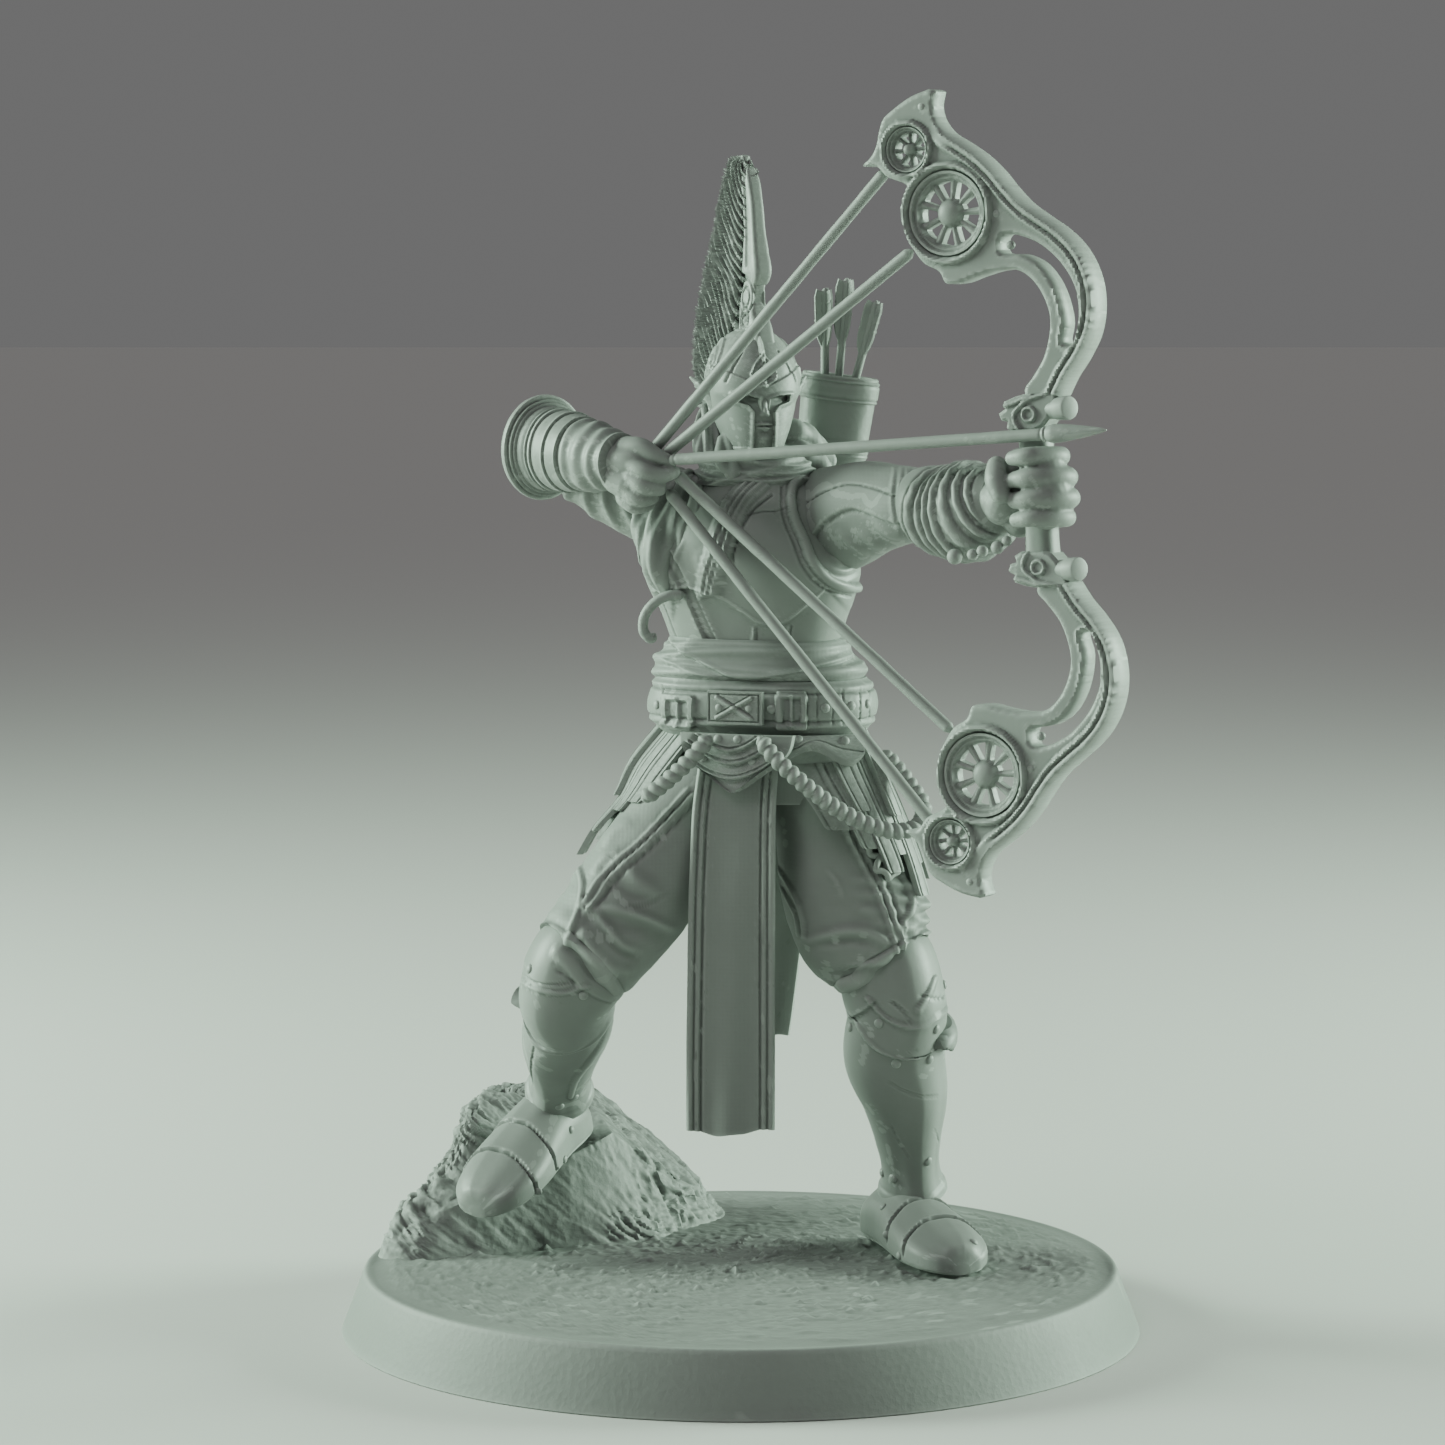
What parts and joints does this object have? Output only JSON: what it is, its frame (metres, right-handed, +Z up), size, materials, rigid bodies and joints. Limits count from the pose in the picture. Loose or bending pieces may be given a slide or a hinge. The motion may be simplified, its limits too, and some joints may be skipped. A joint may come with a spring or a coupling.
{
  "type": "resin gaming miniature of an armoured archer",
  "caption": "Unpainted cast resin tabletop figure: helmeted archer drawing a wheeled war bow, one foot on a rock, on a round lipped base.",
  "frame": {"origin": "centre of the base's flat underside", "axes": "+Z up from the base to the bow's top tip; the archer's chest faces -Y; +X is the side that the bow arm reaches to"},
  "size_m": [0.032, 0.032, 0.049],
  "materials": {
    "base_resin": "matte cast resin, unpainted, slightly green-grey",
    "rock_resin": "matte cast resin, unpainted, slightly green-grey",
    "bow_resin": "matte cast resin, unpainted, slightly green-grey",
    "cord_resin": "matte cast resin, unpainted, slightly green-grey",
    "arrow_resin": "matte cast resin, unpainted, slightly green-grey",
    "figure_resin": "matte cast resin, unpainted, slightly green-grey",
    "cloth_resin": "matte cast resin, unpainted, slightly green-grey",
    "leather_resin": "matte cast resin, unpainted, slightly green-grey",
    "plume_resin": "matte cast resin, unpainted, slightly green-grey",
    "armour_resin": "matte cast resin, unpainted, slightly green-grey"
  },
  "bodies": {
    "root": {"arrow_head": "arrow_resin", "arrow_shaft": "arrow_resin", "base_disc": "base_resin", "belly_plate": "armour_resin", "belt": "leather_resin", "belt_buckle": "leather_resin", "bow_riser": "bow_resin", "bowstring_lower_inner": "cord_resin", "bowstring_lower_outer": "cord_resin", "bowstring_upper_inner": "cord_resin", "bowstring_upper_outer": "cord_resin", "collar": "cloth_resin", "crest_holder": "armour_resin", "cuirass": "armour_resin", "front_tabard": "cloth_resin", "head": "figure_resin", "helmet": "armour_resin", "hip_straps_left": "leather_resin", "hip_straps_right": "leather_resin", "left_bracer": "leather_resin", "left_greave": "armour_resin", "left_hand": "figure_resin", "left_knee_guard": "armour_resin", "left_sabaton": "armour_resin", "left_thigh": "cloth_resin", "left_upper_arm": "cloth_resin", "lower_cam_wheel": "bow_resin", "lower_idler_wheel": "bow_resin", "lower_limb": "bow_resin", "lower_limb_pin": "bow_resin", "pelvis": "cloth_resin", "plume": "plume_resin", "quiver": "leather_resin", "quiver_arrow_1": "arrow_resin", "quiver_arrow_2": "arrow_resin", "quiver_arrow_3": "arrow_resin", "rear_tabard": "cloth_resin", "right_elbow_guard": "armour_resin", "right_forearm": "armour_resin", "right_greave": "armour_resin", "right_hand": "figure_resin", "right_knee_guard": "armour_resin", "right_sabaton": "armour_resin", "right_thigh": "cloth_resin", "right_upper_arm": "cloth_resin", "rock": "rock_resin", "rope_left": "cord_resin", "rope_right": "cord_resin", "sash": "cloth_resin", "upper_cam_wheel": "bow_resin", "upper_idler_wheel": "bow_resin", "upper_limb": "bow_resin", "upper_limb_pin": "bow_resin"}
  },
  "joints": []
}
